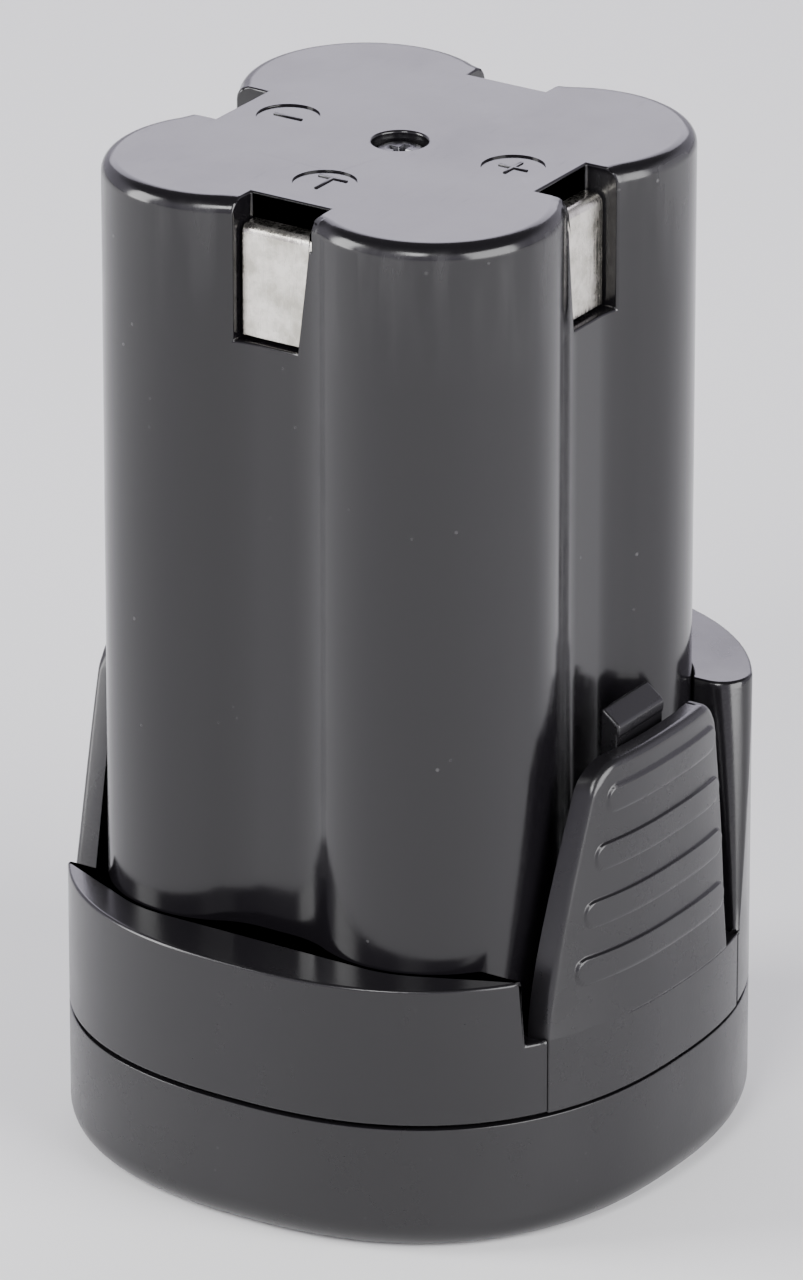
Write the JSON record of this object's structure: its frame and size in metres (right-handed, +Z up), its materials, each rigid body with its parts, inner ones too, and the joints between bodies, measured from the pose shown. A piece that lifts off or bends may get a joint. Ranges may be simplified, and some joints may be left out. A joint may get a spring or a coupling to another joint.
{
  "type": "slide-in battery pack",
  "caption": "Slide-in battery pack for a cordless tool: a lobed tower of round cells on a rounded base, with side squeeze latches and flat terminals near its top.",
  "frame": {"origin": "middle of the base's underside", "axes": "+Z up along the tower, +X and -X towards the two latches, -Y the plain front, +Y the raised block at the back"},
  "size_m": [0.0566, 0.0584, 0.0922],
  "materials": {
    "tower_black_abs": "glossy moulded black",
    "collar_black_abs": "satin moulded black",
    "latch_black_abs": "satin moulded black",
    "terminal_nickel": "nickel plate, lightly brushed",
    "screw_zinc": "dark zinc",
    "block_nylon": "matt",
    "holder_abs": "matt",
    "cell_sleeve": "shrink sleeve on a steel can",
    "cell_steel": "bright",
    "insulating_paper": "pressed paper",
    "strap_nickel": "rolled",
    "board_fr4": "solder mask",
    "chip_epoxy": "moulded epoxy",
    "foam": "open cell foam",
    "wire_red": "insulated lead",
    "wire_black": "insulated lead",
    "wire_white": "insulated lead"
  },
  "bodies": {
    "pack": {"bottom_cap": "collar_black_abs", "cap_screw_1": "screw_zinc", "cap_screw_2": "screw_zinc", "cap_screw_3": "screw_zinc", "cap_screw_4": "screw_zinc", "cell_back_left": "cell_sleeve", "cell_back_right": "cell_sleeve", "cell_cap_back_left": "cell_steel", "cell_cap_back_right": "cell_steel", "cell_cap_front_left": "cell_steel", "cell_cap_front_right": "cell_steel", "cell_front_left": "cell_sleeve", "cell_front_right": "cell_sleeve", "cell_ring_back_left": "insulating_paper", "cell_ring_back_right": "insulating_paper", "cell_ring_front_left": "insulating_paper", "cell_ring_front_right": "insulating_paper", "collar": "collar_black_abs", "contact_block": "block_nylon", "contact_minus": "terminal_nickel", "contact_plus": "terminal_nickel", "contact_t": "terminal_nickel", "control_chip": "chip_epoxy", "end_tab_minus": "strap_nickel", "end_tab_plus": "strap_nickel", "foam_pad": "foam", "fuse": "chip_epoxy", "latch_foot_left": "latch_black_abs", "latch_foot_right": "latch_black_abs", "lower_cell_holder": "holder_abs", "power_switch_left": "chip_epoxy", "power_switch_right": "chip_epoxy", "protection_board": "board_fr4", "strap_bottom_left": "strap_nickel", "strap_bottom_right": "strap_nickel", "strap_top_back": "strap_nickel", "thermistor": "chip_epoxy", "thermistor_lead_a": "wire_white", "thermistor_lead_b": "wire_white", "top_screw": "screw_zinc", "tower_housing": "tower_black_abs", "upper_cell_holder": "holder_abs", "wire_cell_minus": "wire_black", "wire_cell_plus": "wire_red", "wire_pack_minus": "wire_black", "wire_pack_plus": "wire_red"},
    "latch_right": {"latch_right": "latch_black_abs"},
    "latch_left": {"latch_left": "latch_black_abs"}
  },
  "joints": [
    {"name": "latch_right_press", "type": "hinge", "parent": "pack", "child": "latch_right", "pos_m": [0.0258, -0.001, 0.0194], "axis": [0, -1, 0], "range_deg": [0, 6], "stiffness_Nm_per_rad": 2},
    {"name": "latch_left_press", "type": "hinge", "parent": "pack", "child": "latch_left", "pos_m": [-0.0258, -0.001, 0.0194], "axis": [0, 1, 0], "range_deg": [0, 6], "stiffness_Nm_per_rad": 2}
  ]
}
